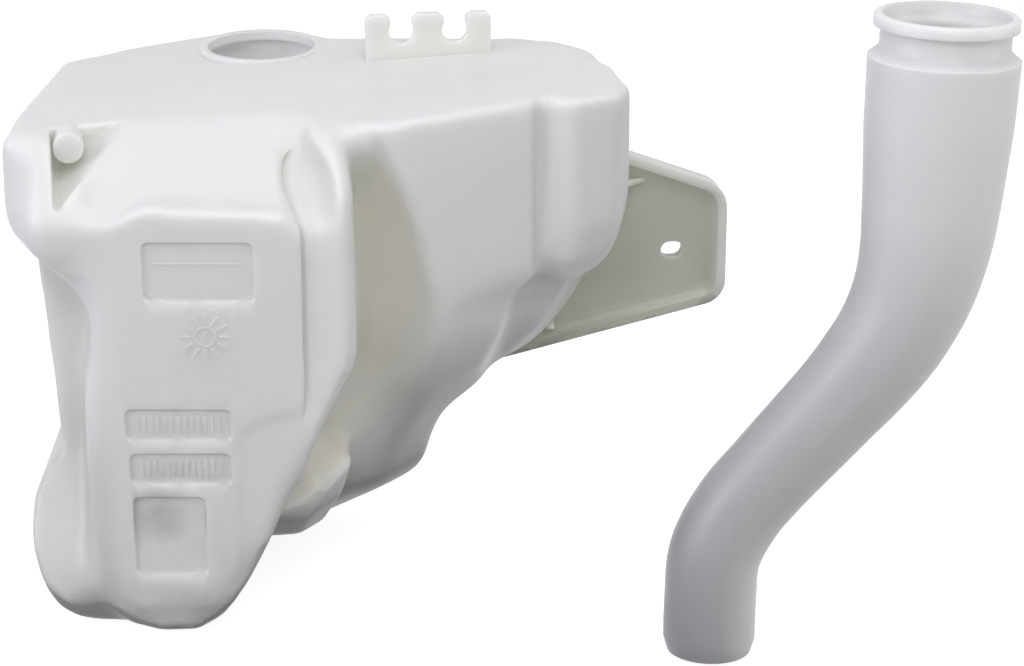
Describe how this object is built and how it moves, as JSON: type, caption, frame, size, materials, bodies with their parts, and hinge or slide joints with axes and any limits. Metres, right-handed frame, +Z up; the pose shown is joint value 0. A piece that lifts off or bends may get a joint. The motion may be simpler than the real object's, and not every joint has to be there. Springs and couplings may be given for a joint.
{
  "type": "washer fluid reservoir",
  "caption": "Blow-moulded washer fluid tank with a filler hole, hose comb and bolt ear, and its separate curved filler neck standing beside it.",
  "frame": {"origin": "on the back face of the tank's mounting ear, 12 mm below the middle of the bolt slot", "axes": "+X to the right along the tank, +Y out of the ear's back face towards the vehicle's panel, +Z up through the filler hole"},
  "size_m": [0.3905, 0.2292, 0.2591],
  "materials": {
    "milky_polyethylene": "satin milky white, as moulded",
    "neck_polyethylene": "satin milky white, as moulded"
  },
  "bodies": {
    "root": {"tank": "milky_polyethylene", "filler_neck": "neck_polyethylene"}
  },
  "joints": []
}
